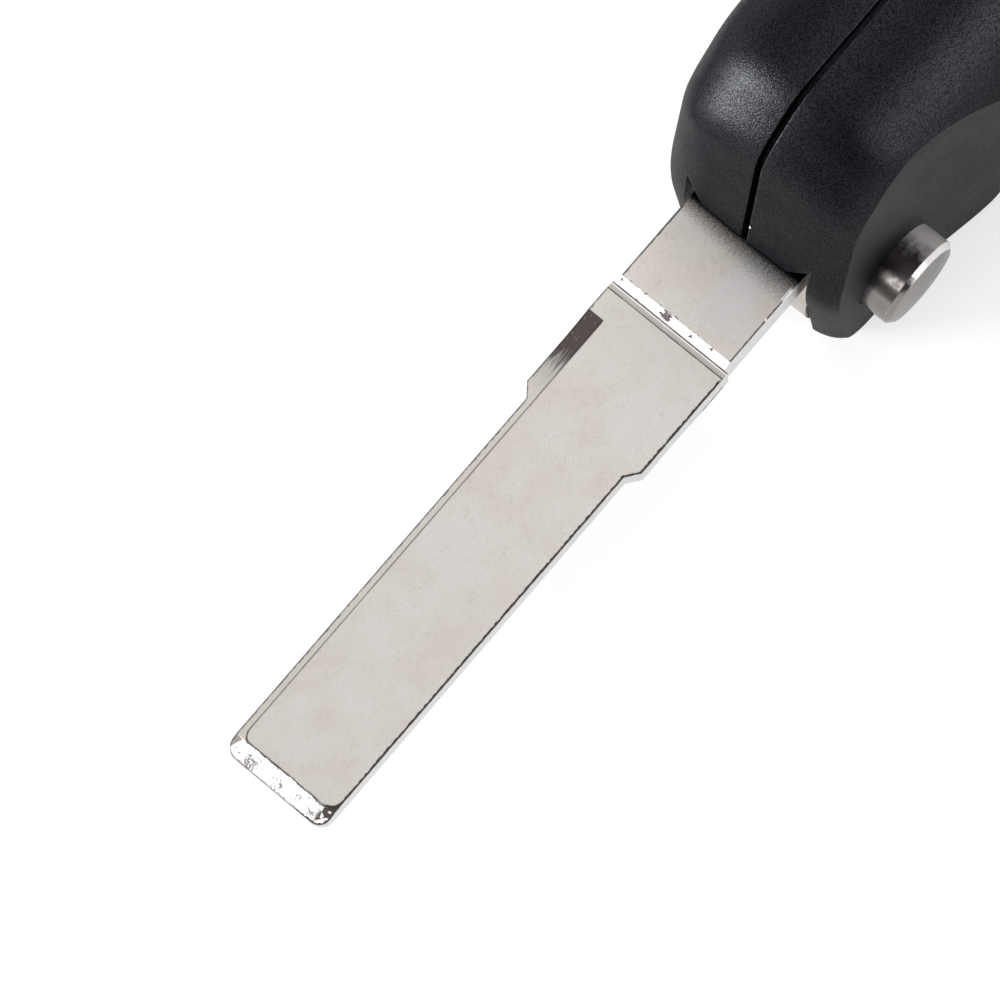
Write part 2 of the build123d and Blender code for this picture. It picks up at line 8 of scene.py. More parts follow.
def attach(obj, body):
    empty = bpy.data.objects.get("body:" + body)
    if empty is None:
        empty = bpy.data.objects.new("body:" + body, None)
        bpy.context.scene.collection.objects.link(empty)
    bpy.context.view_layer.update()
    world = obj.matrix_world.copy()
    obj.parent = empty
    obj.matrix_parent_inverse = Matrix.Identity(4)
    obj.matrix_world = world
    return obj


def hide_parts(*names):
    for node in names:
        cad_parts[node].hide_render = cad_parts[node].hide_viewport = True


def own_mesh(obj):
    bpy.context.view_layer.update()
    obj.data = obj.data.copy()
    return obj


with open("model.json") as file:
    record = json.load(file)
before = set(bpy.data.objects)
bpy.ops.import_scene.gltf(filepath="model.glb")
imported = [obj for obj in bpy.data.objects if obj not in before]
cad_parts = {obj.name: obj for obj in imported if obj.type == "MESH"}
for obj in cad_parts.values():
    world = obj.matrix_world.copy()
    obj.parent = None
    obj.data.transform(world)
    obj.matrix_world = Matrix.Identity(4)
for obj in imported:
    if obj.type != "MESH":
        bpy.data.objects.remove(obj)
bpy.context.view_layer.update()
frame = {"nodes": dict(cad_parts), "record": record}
scene = bpy.context.scene
print("frame loaded:", len(frame["nodes"]), "nodes")

mm = 0.001

# Materials measure from here: the pivot axis of the blade where it crosses the seam, in mm
pivot = (5.85, -0.7, 7.5)

# The camera's place in mm and its own axes, in the frame of the key, its lens and reach in mm
camera = {
    "place": (106.26, 87.08, 478.08),
    "right": (-0.6466, 0.7614, -0.0462),
    "up": (-0.7481, -0.6211, 0.2338),
    "lens": 273.0,
    "sensor": 36.0,
    "near": 10.0,
    "far": 10000.0,
}


def makeCamera():
    data = bpy.data.cameras.new("camera")
    data.lens = camera["lens"]
    data.sensor_width = camera["sensor"]
    data.clip_start = camera["near"] * mm
    data.clip_end = camera["far"] * mm
    cam = bpy.data.objects.new("camera", data)
    right = Vector(camera["right"]).normalized()
    back = right.cross(Vector(camera["up"])).normalized()
    up = back.cross(right)
    turn = Matrix((right, up, back)).transposed()
    cam.matrix_world = Matrix.Translation(Vector(camera["place"]) * mm) @ turn.to_4x4()
    scene.collection.objects.link(cam)
    scene.camera = cam


makeCamera()
print("camera placed")


class Shader:
    # a material and short ways to add nodes to it, with lengths in mm from the pivot

    def __init__(self, name):
        self.mat = bpy.data.materials.new(name)
        self.mat.use_nodes = True
        self.tree = self.mat.node_tree
        self.body = self.tree.nodes["Principled BSDF"]
        self.coords = self.tree.nodes.new("ShaderNodeTexCoord")
        place = self.put("ShaderNodeMapping", Vector=self.coords.outputs["Object"], Scale=(1 / mm,) * 3,
                         Location=[-value for value in pivot])
        self.place = place.outputs["Vector"]

    def feed(self, socket, value):
        # a socket takes the output of another node, or a plain value
        if hasattr(value, "is_linked"):
            self.tree.links.new(value, socket)
        else:
            socket.default_value = value

    def put(self, kind, **inputs):
        node = self.tree.nodes.new(kind)
        for key, value in inputs.items():
            self.feed(node.inputs[key], value)
        return node

    def work(self, kind, operation, values):
        node = self.tree.nodes.new(kind)
        node.operation = operation
        for socket, value in zip(node.inputs, values):
            self.feed(socket, value)
        return node.outputs["Value"]

    def math(self, operation, *values):
        return self.work("ShaderNodeMath", operation, values)

    def vectorMath(self, operation, *values):
        return self.work("ShaderNodeVectorMath", operation, values)

    def axes(self, vector=None):
        node = self.put("ShaderNodeSeparateXYZ", Vector=self.place if vector is None else vector)
        return node.outputs[0], node.outputs[1], node.outputs[2]

    def sides(self):
        # how far the surface faces along each axis, from -1 to 1
        return self.axes(self.coords.outputs["Normal"])

    def both(self, *masks):
        # where all the masks are
        result = masks[0]
        for mask in masks[1:]:
            result = self.math("MULTIPLY", result, mask)
        return result

    def span(self, value, fromLow, fromHigh, low=0.0, high=1.0):
        # straight ramp from low to high between two values, flat outside them
        ends = {"From Min": fromLow, "From Max": fromHigh, "To Min": low, "To Max": high}
        return self.put("ShaderNodeMapRange", Value=value, **ends).outputs["Result"]

    def spread(self, noise, low, high):
        # a noise drawn out from low to high: nearly all its values lie between 0.3 and 0.7
        return self.span(noise, 0.3, 0.7, low, high)

    def near(self, value, place, reach, soft):
        # 1 within reach of a value, falling to 0 over soft
        gap = self.math("ABSOLUTE", self.math("SUBTRACT", value, place))
        return self.span(gap, reach, reach + soft, 1.0, 0.0)

    def spot(self, place, reach, soft):
        # 1 within reach of a point, falling to 0 over soft
        gap = self.vectorMath("DISTANCE", self.place, place)
        return self.span(gap, reach, reach + soft, 1.0, 0.0)

    def gather(self, noise, core, places):
        # a noise lifted at places, each with its reach and how much it adds, full over the core
        for *place, reach, more in places:
            lift = self.math("MULTIPLY", self.spot(place, reach * core, reach), more)
            noise = self.math("ADD", noise, lift)
        return noise

    def outside(self, along, end, beside, side, radius):
        # distance outside an outline that ends at "end" and at "side", with a round corner
        parts = []
        for value, limit in ((along, end), (beside, side)):
            part = self.math("MAXIMUM", self.math("SUBTRACT", value, limit - radius), 0.0)
            parts.append(self.math("MULTIPLY", part, part))
        return self.math("SUBTRACT", self.math("SQRT", self.math("ADD", *parts)), radius)

    def noise(self, size, detail=2.0, rough=0.5, stretch=(1, 1, 1)):
        # lumps about size mm across, drawn out along an axis by stretch
        place = self.put("ShaderNodeMapping", Vector=self.place, Scale=[1 / (size * drawn) for drawn in stretch])
        node = self.put("ShaderNodeTexNoise", Vector=place.outputs["Vector"], Scale=1.0, Detail=detail,
                        Roughness=rough)
        return node.outputs["Fac"]

    def ramp(self, fac, *stops):
        node = self.put("ShaderNodeValToRGB", Fac=fac)
        line = node.color_ramp
        while len(line.elements) < len(stops):
            line.elements.new(0.5)
        for element, (stop, color) in zip(line.elements, stops):
            element.position = stop
            element.color = (*color, 1.0)
        return node.outputs["Color"]

    def mix(self, fac, under, over):
        node = self.tree.nodes.new("ShaderNodeMix")
        node.data_type = "RGBA"
        self.feed(node.inputs["Factor"], fac)
        for name, value in (("A", under), ("B", over)):
            socket = [item for item in node.inputs if item.name == name and item.type == "RGBA"][0]
            self.feed(socket, value if hasattr(value, "is_linked") else (*value, 1.0))
        return [item for item in node.outputs if item.type == "RGBA"][0]

    def rounded(self, radius):
        # the normal that the solid would have with its edges rounded
        node = self.put("ShaderNodeBevel", Radius=radius * mm)
        node.samples = 6
        return node.outputs["Normal"]

    def rub(self, rounded, color, tint, strength):
        # wear in patches along the edges, where the rounded normal leaves the plain one
        plain = self.tree.nodes.new("ShaderNodeNewGeometry").outputs["Normal"]
        edge = self.span(self.vectorMath("DOT_PRODUCT", rounded, plain), 0.94, 0.999, 1.0, 0.0)
        patches = self.span(self.noise(0.7, 3.0, 0.7), 0.4, 0.62, 0.1, strength)
        return self.mix(self.both(edge, patches), color, tint)

    def bump(self, height, depth, under):
        node = self.put("ShaderNodeBump", Height=height, Distance=depth * mm, Normal=under)
        return node.outputs["Normal"]

    def set(self, **values):
        for key, value in values.items():
            self.feed(self.body.inputs[key.replace("_", " ")], value)
        return self.mat


# Moulded case: near black with a spark-eroded grain, edges rubbed a little lighter, and two small
# painted glints at the corners of the mouth, light colour painted on the plastic, each with its place and reach.
# Its shine falls off from "specular" to "oblique" over "turning", as the surface turns away, and
# comes back to "glancing" over "grazing".
case = {
    "dark": (0.0016, 0.0018, 0.0032),
    "light": (0.006, 0.0063, 0.009),
    "rubbed": (0.05, 0.051, 0.058),
    "rubbedMost": 0.9,
    "edge": 0.14,
    "paintedGlint": (0.8, 0.78, 0.76),
    "paintedGlints": ((6.12, 0.1, 9.5, 0.24), (6.1, 5.0, 9.6, 0.24)),
    "paintedGlintSoft": 0.1,
    "grain": 0.1,
    "grainDepth": 0.03,
    "sparkle": (0.4, 1.6),
    "cloud": 6.0,
    "rough": 0.41,
    "roughSway": 0.03,
    "tint": (0.86, 0.89, 1.0, 1.0),
    "specular": 0.23,
    "oblique": 0.052,
    "glancing": 0.1,
    "turning": (0.35, 0.62),
    "grazing": (0.68, 0.78),
}


def casePlastic():
    s = Shader("casePlastic")
    grain = s.noise(case["grain"], 1.0)
    rounded = s.rounded(case["edge"])
    color = s.ramp(grain, (0.35, case["dark"]), (0.7, case["light"]))
    color = s.rub(rounded, color, case["rubbed"], case["rubbedMost"])
    # painted glints: light colour painted on the plastic at the corners of the mouth
    for *place, reach in case["paintedGlints"]:
        color = s.mix(s.spot(place, reach, case["paintedGlintSoft"]), color, case["paintedGlint"])
    sway = case["roughSway"]
    gloss = s.spread(s.noise(case["cloud"], 3.0), case["rough"] - sway, case["rough"] + sway)
    facing = s.put("ShaderNodeLayerWeight", Blend=0.5).outputs["Facing"]
    shine = s.math("MAXIMUM", s.span(facing, *case["turning"], case["specular"], case["oblique"]),
                   s.span(facing, *case["grazing"], case["oblique"], case["glancing"]))
    shine = s.both(shine, s.span(grain, 0.36, 0.64, *case["sparkle"]))
    return s.set(Base_Color=color, Roughness=gloss, Specular_IOR_Level=shine, Specular_Tint=case["tint"],
                 Normal=s.bump(grain, case["grainDepth"], rounded))


# Satin nickel, which blade and hub share: slow clouds of two tints, fine specks and curly
# hairlines that break off. The sizes are in mm; "line" is painted shade for its dark edges and
# "bright" a painted highlight for its lit edges and faces.
nickel = {
    "cloud": 4.0,
    "fine": 0.16,
    "hair": 0.9,
    "breaks": 1.7,
    "speckMost": 0.5,
    "hairMost": 0.45,
    "depth": 0.004,
    "edge": 0.05,
    "roughSway": 0.05,
    "speck": (0.45, 0.4, 0.36),
    "line": (0.07, 0.056, 0.052),
    "bright": (0.98, 0.975, 0.97),
}


def plating(s, look):
    fine = s.noise(nickel["fine"], 4.0, 0.85)
    color = s.ramp(s.noise(nickel["cloud"], 5.0, 0.7), (0.38, look["warm"]), (0.58, look["pale"]))
    color = s.mix(s.span(fine, 0.5, 0.8, 0.0, nickel["speckMost"]), color, nickel["speck"])
    hair = s.near(s.noise(nickel["hair"], 3.0, 0.6), 0.5, 0.002, 0.008)
    broken = s.span(s.noise(nickel["breaks"]), 0.45, 0.6, 0.0, nickel["hairMost"])
    return s.mix(s.both(hair, broken), color, nickel["speck"]), fine


def satin(s, color, fine, rough, under):
    gloss = s.spread(fine, rough - nickel["roughSway"], rough + nickel["roughSway"])
    return s.set(Base_Color=color, Metallic=1.0, Roughness=gloss, Normal=s.bump(fine, nickel["depth"], under))


# Blade: a panel on each face, a milled strip to the left of it, cut sides painted pale as a
# reflection with a painted dark band towards each face, and a struck slope at the tip with a
# painted highlight. Places are in mm from the pivot, and left and right are taken looking at a
# face, so both faces look alike. Where the cutter runs out, the strip gets painted shade over
# "shadeEnds" and a painted dark reflection over the pair of ends given just before it. A fleck
# has its place, reach and strength.
blade = {
    "middle": 5.3,
    "half": 4.05,
    "tip": 52.3,
    "tipRound": 0.9,
    "shoulder": 0.7,
    "shoulderEnds": (22.0, 22.9),
    "grooveStart": 13.6,
    "grooveEnd": 14.0,
    "stripStart": 15.9,
    "darkReflectionEnds": (20.2, 19.0),
    "shadeEnds": (22.3, 19.6),
    "panelEnd": 51.0,
    "panelLeft": 3.5,
    "panelRight": 3.95,
    "roundLeft": 0.7,
    "roundRight": 1.1,
    "slopeStart": 51.04,
    "runDown": 2.3,
    "lip": (0.8, 0.95),
    "rough": 0.39,
    "pale": (0.735, 0.695, 0.66),
    "warm": (0.695, 0.645, 0.595),
    "milled": (0.66, 0.62, 0.585),
    "shadow": (0.105, 0.088, 0.086),
    "glow": (0.26, 0.23, 0.22),
    "wall": (0.95, 0.945, 0.94),
    "grooveNear": (0.66, 0.61, 0.57),
    "grooveFar": (0.56, 0.52, 0.48),
    "paintedSlopeShade": (0.26, 0.24, 0.235),
    "fleck": (0.07, 0.05, 0.065),
    "flecks": ((51.9, -2.2, 6.0, 0.5, 0.16), (52.0, 0.0, 6.0, 0.5, 0.1), (51.7, 1.6, 6.0, 0.3, 0.09),
               (52.0, 2.9, 6.0, 0.4, 0.12)),
}


def bladeNickel():
    s = Shader("bladeNickel")
    x, y, z = s.axes()
    height = s.math("SUBTRACT", z, blade["middle"])
    rightward = s.math("MULTIPLY", y, s.math("SIGN", height))
    leftward = s.math("MULTIPLY", rightward, -1.0)
    facing = s.math("ABSOLUTE", s.sides()[2])
    level = s.span(facing, 0.96, 0.99)
    wander = s.math("ADD", x, s.spread(s.noise(0.8), -0.05, 0.05))
    end, left, right = blade["panelEnd"], blade["panelLeft"], blade["panelRight"]
    color, fine = plating(s, blade)

    # milled strip, with ragged painted shade and a painted dark reflection where the cutter runs out
    start = blade["stripStart"]
    streak = s.noise(0.16, 3.0, 0.65, (16, 1, 1))
    strip = s.both(s.span(leftward, left, left + 0.02), s.span(x, start, start + 0.05), s.span(facing, 0.4, 0.6))
    milled = s.ramp(streak, (0.3, blade["warm"]), (0.7, blade["milled"]))
    color = s.mix(s.both(strip, s.spread(fine, 0.5, 0.9)), color, milled)
    ragged = s.math("ADD", x, s.spread(streak, -1.0, 1.0))
    color = s.mix(s.both(strip, s.span(ragged, *blade["shadeEnds"], 0.0, 0.4)), color, blade["shadow"])
    paintedRunOut = s.ramp(s.noise(0.2, 3.0, 0.7), (0.58, blade["shadow"]), (0.76, blade["glow"]))
    color = s.mix(s.both(strip, s.span(ragged, *blade["darkReflectionEnds"])), color, paintedRunOut)

    # panel: painted shade as a dark line at the foot of its step and round its rounded corners at the tip
    foot = s.near(s.outside(wander, end, leftward, left, blade["roundLeft"]), 0.05, 0.05, 0.05)
    foot = s.both(foot, s.span(x, start + 0.1, start + 0.3), s.span(rightward, right + 0.05, right - 0.05))
    foot = s.both(foot, s.span(x, end - 2.0, end - 0.4, 0.65, 0.95), s.span(s.noise(1.4), 0.3, 0.6, 0.75, 1.0))
    color = s.mix(foot, color, nickel["line"])
    corner = s.outside(wander, end, rightward, right, blade["roundRight"])
    corner = s.both(s.span(corner, 0.0, 0.05), s.span(rightward, 2.8, 3.0), level, s.span(x, end - 2.0, end - 1.5))
    color = s.mix(corner, color, nickel["line"])

    # groove at the root between neck and blade: painted shade darkening across it,
    # a painted highlight line and painted dark lines of shade along it
    near, far = blade["grooveStart"], blade["grooveEnd"]
    groove = s.ramp(s.span(x, near, far), (0.1, blade["grooveNear"]), (0.95, blade["grooveFar"]))
    color = s.mix(s.span(x, far + 0.06, far + 0.03), color, groove)
    color = s.mix(s.both(s.near(x, near + 0.08, 0.02, 0.03), level), color, nickel["bright"])
    root = s.math("MAXIMUM", s.near(x, far + 0.07, 0.03, 0.04), s.near(x, near - 0.02, 0.02, 0.03))
    color = s.mix(s.both(root, s.span(s.noise(1.1), 0.3, 0.55, 0.6, 1.0)), color, nickel["line"])

    # struck slope of the tip with a painted highlight, painted shade where it runs down to the strip,
    # clustered flecks, and painted shade in dark patches on its right corner
    slope = blade["slopeStart"]
    sloped = s.both(s.span(wander, slope, slope + 0.04), s.span(facing, 0.7, 0.8), s.span(facing, 0.995, 0.985))
    color = s.mix(sloped, color, nickel["bright"])
    beyond = s.math("SUBTRACT", s.math("MULTIPLY", s.math("SUBTRACT", leftward, left), blade["runDown"]),
                    s.math("SUBTRACT", wander, slope + 0.06))
    paintedSlopeShade = s.both(sloped, s.span(leftward, left, left + 0.05), s.span(beyond, -0.05, 0.1))
    color = s.mix(paintedSlopeShade, color, blade["paintedSlopeShade"])
    flecks = s.gather(s.noise(0.15, 3.0, 0.75), 0.5, blade["flecks"])
    color = s.mix(s.both(sloped, s.span(flecks, 0.56, 0.62, 0.0, 0.85)), color, blade["fleck"])
    # painted shade: dark patches on the right corner of the tip's slope
    paintedDark = s.both(s.span(wander, slope - 0.04, slope + 0.01), s.span(rightward, 2.9, 3.3),
                    s.span(s.noise(0.35, 3.0), 0.44, 0.5))
    color = s.mix(paintedDark, color, nickel["line"])

    # outline: painted shade as a dark line along the edge, heavy on the right, thinner on the left and
    # round the tip, and on the shoulders, where the root is wider
    wide = s.math("SUBTRACT", s.math("ABSOLUTE", y), s.span(x, *blade["shoulderEnds"], blade["shoulder"], 0.0))
    rim = s.outside(x, blade["tip"], wide, blade["half"], blade["tipRound"])
    uneven = s.math("ADD", rim, s.spread(s.noise(0.25, 3.0), -0.045, 0.045))
    heavy = s.both(s.span(uneven, -0.15, -0.1), s.span(rightward, 1.0, 2.0), s.span(x, far + 0.2, far + 0.4))
    light = s.both(s.span(uneven, -0.13, -0.07), s.span(x, far + 0.1, far + 0.3, 0.0, 0.75))
    color = s.mix(s.both(s.math("MAXIMUM", heavy, light), s.span(facing, 0.5, 0.7)), color, nickel["line"])

    # cut sides: painted pale as a reflection of the floor, with a painted dark band towards each face
    reach = s.math("ADD", s.math("ABSOLUTE", height), s.spread(s.noise(0.5, 3.0), -0.1, 0.1))
    side = s.mix(s.span(reach, *blade["lip"]), blade["wall"], nickel["line"])
    color = s.mix(s.span(facing, 0.5, 0.3), color, side)

    hammered = s.bump(s.both(sloped, s.noise(0.35, 2.0, 0.6)), 0.03, s.rounded(nickel["edge"]))
    return satin(s, color, fine, blade["rough"], hammered)


# Hub and neck: the same nickel with a bluish patch, painted shade where it goes into the mouth,
# and a struck band at the end with a painted highlight. The painted shade reaches out of the mouth
# by a length given for its left side and for its right, and a nick has its place, reach and strength.
hub = {
    "mouth": 6.1,
    "mouthShadeLeft": 1.4,
    "mouthShadeRight": 2.1,
    "bandStart": 12.95,
    "rim": 4.36,
    "glintAlong": 7.3,
    "glintAcross": 4.4,
    "glintSpot": (9.4, 4.42, 6.6),
    "rough": 0.37,
    "warm": (0.76, 0.7, 0.64),
    "pale": (0.79, 0.74, 0.7),
    "cool": (0.73, 0.73, 0.77),
    "paintedMouthShade": (0.03, 0.027, 0.027),
    "black": (0.003, 0.003, 0.004),
    "nick": (0.14, 0.11, 0.12),
    "nicks": ((13.2, -0.58, 6.6, 0.36, 0.34), (13.3, 1.44, 6.6, 0.16, 0.24), (13.1, 3.0, 6.6, 0.16, 0.22),
              (13.17, -4.3, 6.6, 0.12, 0.25), (13.0, -2.6, 6.6, 0.1, 0.2), (13.4, -1.1, 6.6, 0.2, 0.22)),
}


def hubNickel():
    s = Shader("hubNickel")
    x, y = s.axes()[:2]
    facing = s.math("ABSOLUTE", s.sides()[2])
    level = s.span(facing, 0.96, 0.99)
    color, fine = plating(s, hub)
    swayed = s.math("ADD", y, s.spread(s.noise(1.6, 3.0), -0.6, 0.6))
    blue = s.both(s.span(swayed, 0.2, 0.9), s.span(swayed, 4.3, 2.8), s.span(x, 12.8, 11.2),
                  s.span(s.noise(0.3, 3.0, 0.7), 0.35, 0.6, 0.2, 0.65), level)
    color = s.mix(blue, color, hub["cool"])

    # painted shade fading out of the mouth, in fine short strokes, near black at the mouth itself
    mouthShadeEnd = s.span(y, -3.3, 3.0, hub["mouthShadeLeft"], hub["mouthShadeRight"])
    reach = s.math("DIVIDE", s.math("SUBTRACT", x, hub["mouth"]), mouthShadeEnd)
    fading = s.math("ADD", reach, s.spread(s.noise(0.07, 3.0, 0.7, (1, 2.5, 1)), -0.3, 0.3))
    top = s.both(level, s.span(x, hub["mouth"] - 0.9, hub["mouth"] - 0.6))
    color = s.mix(s.both(top, s.span(fading, 0.95, 0.1, 0.0, 0.95)), color, hub["paintedMouthShade"])
    color = s.mix(s.both(top, s.span(reach, 0.2, -0.02)), color, hub["black"])

    # struck band at the end of the neck with a painted highlight, nicked and ragged, painted shade along its edge
    start = hub["bandStart"]
    jag = s.math("ADD", x, s.spread(s.noise(0.35, 3.0, 0.7), -0.1, 0.1))
    band = s.both(s.span(jag, start, start + 0.03), s.span(facing, 0.6, 0.7))
    color = s.mix(band, color, nickel["bright"])
    nicks = s.gather(s.noise(0.3, 3.0, 0.65, (0.7, 1.3, 1)), 0.6, hub["nicks"])
    color = s.mix(s.both(band, s.span(nicks, 0.68, 0.71)), color, hub["nick"])
    color = s.mix(s.both(s.near(jag, start, 0.01, 0.03), level, s.span(nicks, 0.4, 0.6)), color, nickel["line"])

    # painted shade as dark lines along the rims beside the neck, a painted highlight on the right one,
    # and walls painted bright as a reflection
    uneven = s.math("ADD", s.math("ABSOLUTE", y), s.spread(s.noise(0.6, 3.0), -0.04, 0.04))
    rims = s.both(s.span(uneven, hub["rim"], hub["rim"] + 0.05, 0.0, 0.85), s.span(x, 6.6, 7.0),
                  s.span(x, start, start - 0.05), level)
    color = s.mix(rims, color, nickel["line"])
    # painted highlight: a glint along the right rim and a dot further along it
    paintedHighlight = s.both(s.near(y, hub["glintAcross"], 0.1, 0.05), s.near(x, hub["glintAlong"], 0.4, 0.2))
    paintedHighlight = s.math("MAXIMUM", paintedHighlight, s.spot(hub["glintSpot"], 0.08, 0.06))
    color = s.mix(s.both(paintedHighlight, s.span(facing, 0.3, 0.5)), color, nickel["bright"])
    color = s.mix(s.both(s.span(facing, 0.5, 0.3), s.span(x, 6.0, 6.8)), color, nickel["bright"])
    return satin(s, color, fine, hub["rough"], s.rounded(nickel["edge"]))


# Release button: satin chrome with fine turned rings and a painted highlight on its rim. Its stem
# has a painted dark reflection along the top and underside, and a painted highlight, matt and pale,
# on the side of the case's tail, each as far as its own end in mm from the seam.
button = {
    "pale": (0.38, 0.36, 0.345),
    "warm": (0.32, 0.3, 0.285),
    "stemDarkReflection": (0.12, 0.1, 0.1),
    "paintedHighlight": (0.85, 0.82, 0.79),
    "rim": (0.98, 0.96, 0.94),
    "stemDarkEnd": 9.3,
    "highlightEnd": 9.6,
    "highlightMost": 0.75,
    "rubbedMost": 0.5,
    "edge": 0.12,
    "rings": 60.0,
    "ringDepth": 0.0004,
    "cloud": 2.2,
    "fine": 0.12,
    "fineDepth": 0.0006,
    "smooth": 0.16,
    "rough": 0.25,
}


def buttonChrome():
    s = Shader("buttonChrome")
    x, y, z = s.axes()
    ahead, outward, upward = s.sides()
    cloud = s.noise(button["cloud"], 3.0, 0.6)
    color = s.ramp(cloud, (0.35, button["warm"]), (0.62, button["pale"]))
    sway = s.math("ADD", ahead, s.spread(s.noise(0.9, 3.0, 0.6), -0.14, 0.14))
    # painted dark reflection along the top and underside of the stem
    paintedDark = s.both(s.span(y, button["stemDarkEnd"] + 0.15, button["stemDarkEnd"]), s.near(sway, 0.1, 0.25, 0.2))
    color = s.mix(paintedDark, color, button["stemDarkReflection"])
    # painted highlight, pale, on the stem's side towards the case's tail
    paintedHighlight = s.both(s.span(y, button["highlightEnd"] + 0.15, button["highlightEnd"]),
                  s.span(sway, -0.1, -0.6, 0.0, button["highlightMost"]))
    color = s.mix(paintedHighlight, color, button["paintedHighlight"])
    # painted highlight on the rim
    rim = s.both(s.near(outward, 0.62, 0.22, 0.1), s.span(sway, 0.25, 0.1), s.span(upward, 0.0, 0.2))
    color = s.mix(rim, color, button["rim"])
    # less metallic where the highlights are painted
    matt = s.math("MAXIMUM", paintedHighlight, s.math("MULTIPLY", rim, 0.8))
    rounded = s.rounded(button["edge"])
    color = s.rub(rounded, color, button["rim"], button["rubbedMost"])
    reach = s.math("SQRT", s.math("ADD", s.math("MULTIPLY", x, x), s.math("MULTIPLY", z, z)))
    rings = s.math("SINE", s.math("MULTIPLY", reach, button["rings"]))
    normal = s.bump(s.noise(button["fine"], 2.0, 0.6), button["fineDepth"], rounded)
    return s.set(Base_Color=color, Metallic=s.math("SUBTRACT", 1.0, matt),
                 Roughness=s.spread(cloud, button["smooth"], button["rough"]),
                 Normal=s.bump(rings, button["ringDepth"], normal))


def grained(name, dark, light, rough, grain, depth, specular=0.5):
    # plain moulded or printed surface: fine noise tints and raises it, slow clouds change its
    # gloss, edges are rubbed lighter
    s = Shader(name)
    fine = s.noise(grain, 3.0, 0.6)
    gloss = s.spread(s.noise(grain * 40), rough - 0.03, rough + 0.05)
    rounded = s.rounded(0.08)
    color = s.rub(rounded, s.ramp(fine, (0.35, dark), (0.68, light)), [value * 1.8 for value in light], 0.7)
    return s.set(Base_Color=color, Roughness=gloss, Specular_IOR_Level=specular, Normal=s.bump(fine, depth, rounded))


def metal(name, dark, light, rough, grain, depth, stretch=(1, 1, 1)):
    # plain metal: fine speckle in its gloss, slow clouds in its colour, bright worn edges
    s = Shader(name)
    fine = s.noise(grain, 3.0, 0.6, stretch)
    color = s.ramp(s.noise(grain * 25, 3.0), (0.35, dark), (0.65, light))
    gloss = s.spread(fine, rough - 0.06, rough + 0.08)
    rounded = s.rounded(0.06)
    color = s.rub(rounded, color, [min(value * 1.5, 0.95) for value in light], 0.7)
    return s.set(Base_Color=color, Metallic=1.0, Roughness=gloss, Normal=s.bump(fine, depth, rounded))


# Plain finishes have their dark and light colour, roughness, size of the grain and its height in
# mm, then the shine of a moulding or the stretch of a metal's grain
looks = {
    "case": casePlastic(),
    "blade": bladeNickel(),
    "hub": hubNickel(),
    "release": buttonChrome(),
    "keys": grained("keyRubber", (0.011, 0.011, 0.013), (0.02, 0.02, 0.023), 0.6, 0.1, 0.008, 0.35),
    "keypad": grained("silicone", (0.2, 0.21, 0.22), (0.27, 0.28, 0.3), 0.55, 0.4, 0.01),
    "pin": metal("pinSteel", (0.38, 0.38, 0.39), (0.46, 0.46, 0.47), 0.35, 0.2, 0.004),
    "spring": metal("springSteel", (0.3, 0.3, 0.32), (0.42, 0.42, 0.44), 0.32, 0.2, 0.004),
    "shield": metal("tinnedCan", (0.5, 0.5, 0.51), (0.6, 0.6, 0.61), 0.3, 0.3, 0.004),
    "cell": metal("cellCan", (0.6, 0.6, 0.6), (0.7, 0.7, 0.7), 0.22, 0.6, 0.003, (8, 1, 1)),
    "contact": metal("contactStrip", (0.55, 0.53, 0.46), (0.64, 0.62, 0.54), 0.28, 0.3, 0.003),
    "screw": metal("screwSteel", (0.05, 0.05, 0.055), (0.09, 0.09, 0.095), 0.35, 0.2, 0.004),
    "board": grained("solderMask", (0.008, 0.09, 0.03), (0.014, 0.13, 0.05), 0.3, 0.8, 0.004),
    "switch": grained("switchBody", (0.5, 0.5, 0.48), (0.58, 0.58, 0.56), 0.45, 0.3, 0.005),
    "chip": grained("mouldingCompound", (0.02, 0.02, 0.021), (0.032, 0.032, 0.034), 0.5, 0.15, 0.006),
    "ferrite": grained("ferriteBobbin", (0.05, 0.04, 0.035), (0.09, 0.07, 0.06), 0.5, 0.2, 0.008),
    "led": grained("ledLens", (0.5, 0.12, 0.09), (0.62, 0.18, 0.13), 0.15, 0.4, 0.002),
    "light_pipe": grained("lightPipe", (0.16, 0.012, 0.012), (0.22, 0.02, 0.02), 0.12, 0.4, 0.002),
    "transponder": grained("transponderBlock", (0.02, 0.02, 0.022), (0.03, 0.03, 0.033), 0.4, 0.2, 0.006),
}

slotOf = {entry["node"]: entry["material_slot"] for entry in frame["record"]["subparts"]}
for name, node in frame["nodes"].items():
    for place in node.material_slots:
        place.material = looks[slotOf[name]]
print("materials:", len(looks))


# Soft pieces that give way at a press: copies of the solids stand for them. The keypad is cut
# between the keys into one piece for each key, and the coil is copied whole. Places are in mm in the
# frame of the key, "keep" is what is left of the height at full press, and corners closer than
# "merge" are made one before a cut.
soft = {
    "cuts": (-60.0, -30.9, -19.4, 0.0),
    "pads": ("trunk", "unlock", "lock"),
    "merge": 0.0005,
    "board": (0, 1.9, 0),
    "padKeep": 0.77,
    "springFoot": (5.85, -4.08, 7.5),
    "springKeep": 0.79,
}


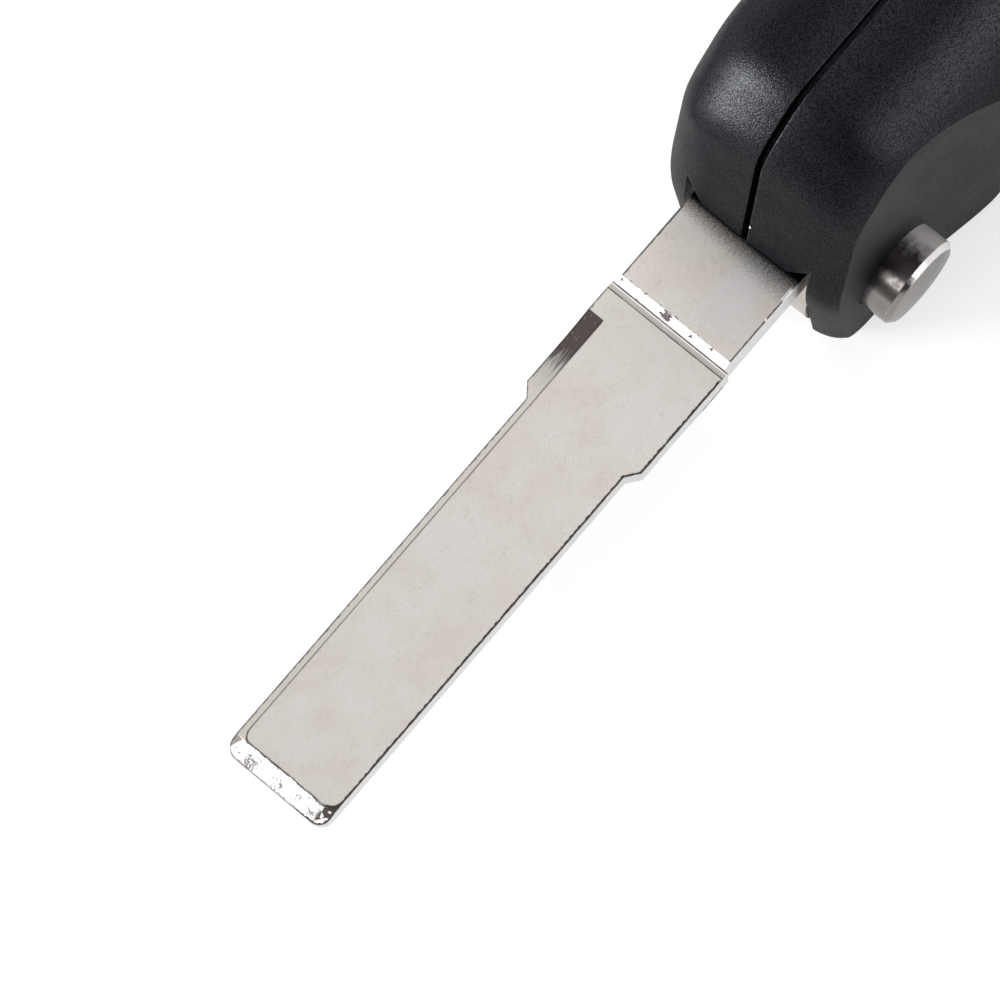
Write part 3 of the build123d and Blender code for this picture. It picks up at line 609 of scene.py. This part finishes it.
def softCopy(name, source, body, low=None, high=None):
    piece = bpy.data.objects.new(name, frame["nodes"][source].data.copy())
    scene.collection.objects.link(piece)
    if low is not None:
        mesh = bmesh.new()
        mesh.from_mesh(piece.data)
        bmesh.ops.remove_doubles(mesh, verts=mesh.verts, dist=soft["merge"] * mm)
        for place, side in ((low, -1), (high, 1)):
            everything = mesh.verts[:] + mesh.edges[:] + mesh.faces[:]
            bmesh.ops.bisect_plane(mesh, geom=everything, plane_co=(place * mm, 0, 0), plane_no=(side, 0, 0),
                                   clear_outer=True)
            bmesh.ops.holes_fill(mesh, edges=[edge for edge in mesh.edges if edge.is_boundary])
        mesh.to_mesh(piece.data)
        mesh.free()
    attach(piece, body)
    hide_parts(source)
    return piece


for key, low, high in zip(soft["pads"], soft["cuts"], soft["cuts"][1:]):
    pad = softCopy(key + "_pad", "keypad", "case", low, high)
    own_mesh(pad)
coil = softCopy("spring_coil", "flip_spring", "blade")
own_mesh(coil)
print("soft pieces:", len(soft["pads"]) + 1)


# Studio: white floor, dim room, one broad lamp overhead and softboxes round the key.
# A lamp has its place and aim in m, its size in m and its power in W.
studio = {
    "floorHalf": 2.0,
    "floorWhite": (0.425, 0.425, 0.427, 1),
    "floorGlow": 0.64,
    "floorShine": 0.3,
    "roomColor": (0.97, 0.98, 1.0, 1),
    "roomLight": 0.15,
    "backdrop": (1, 1, 1, 1),
    "lamps": {
        "overhead": ((-0.08, -0.1, 0.65), (0, 0, 0.01), 0.6, 0.85),
        "leftBox": ((0.33, -0.34, 0.085), (0, 0, 0.02), 0.2, 4.6),
        "rightBox": ((-0.12, 0.43, 0.2), (-0.01, 0, 0.02), 0.26, 1.3),
        "frontBox": ((0.38, -0.12, 0.45), (0, 0, 0.01), 0.25, 0.5),
        "backBox": ((-0.38, -0.08, 0.38), (0, 0, 0.01), 0.3, 1.1),
    },
}


def makeFloor():
    half = studio["floorHalf"]
    mesh = bpy.data.meshes.new("floor")
    mesh.from_pydata([(-half, -half, 0), (half, -half, 0), (half, half, 0), (-half, half, 0)], [], [(0, 1, 2, 3)])
    floor = bpy.data.objects.new("floor", mesh)
    scene.collection.objects.link(floor)
    s = Shader("floorWhite")
    path = s.tree.nodes.new("ShaderNodeLightPath")
    white = s.put("ShaderNodeBsdfDiffuse", Color=studio["floorWhite"])
    seen = s.math("MULTIPLY", path.outputs["Is Camera Ray"], studio["floorGlow"])
    mirrored = s.math("MULTIPLY", path.outputs["Is Glossy Ray"], studio["floorShine"])
    glow = s.put("ShaderNodeEmission", Strength=s.math("ADD", seen, mirrored))
    total = s.tree.nodes.new("ShaderNodeAddShader")
    s.feed(total.inputs[0], white.outputs[0])
    s.feed(total.inputs[1], glow.outputs[0])
    s.feed(s.tree.nodes["Material Output"].inputs["Surface"], total.outputs[0])
    s.tree.nodes.remove(s.body)
    mesh.materials.append(s.mat)


def makeWorld():
    world = bpy.data.worlds.new("studio")
    world.use_nodes = True
    scene.world = world
    tree = world.node_tree
    path = tree.nodes.new("ShaderNodeLightPath")
    room = tree.nodes["Background"]
    room.inputs["Color"].default_value = studio["roomColor"]
    room.inputs["Strength"].default_value = studio["roomLight"]
    plain = tree.nodes.new("ShaderNodeBackground")
    plain.inputs["Color"].default_value = studio["backdrop"]
    mix = tree.nodes.new("ShaderNodeMixShader")
    tree.links.new(path.outputs["Is Camera Ray"], mix.inputs[0])
    tree.links.new(room.outputs[0], mix.inputs[1])
    tree.links.new(plain.outputs[0], mix.inputs[2])
    tree.links.new(mix.outputs[0], tree.nodes["World Output"].inputs["Surface"])


def makeLamp(name, place, aim, size, power):
    data = bpy.data.lights.new(name, "AREA")
    data.size = size
    data.energy = power
    lamp = bpy.data.objects.new(name, data)
    lamp.location = place
    lamp.rotation_euler = (Vector(aim) - Vector(place)).to_track_quat("-Z", "Y").to_euler()
    scene.collection.objects.link(lamp)


makeFloor()
makeWorld()
for name, lamp in studio["lamps"].items():
    makeLamp(name, *lamp)
scene.view_settings.view_transform = "Standard"
print("studio lit")
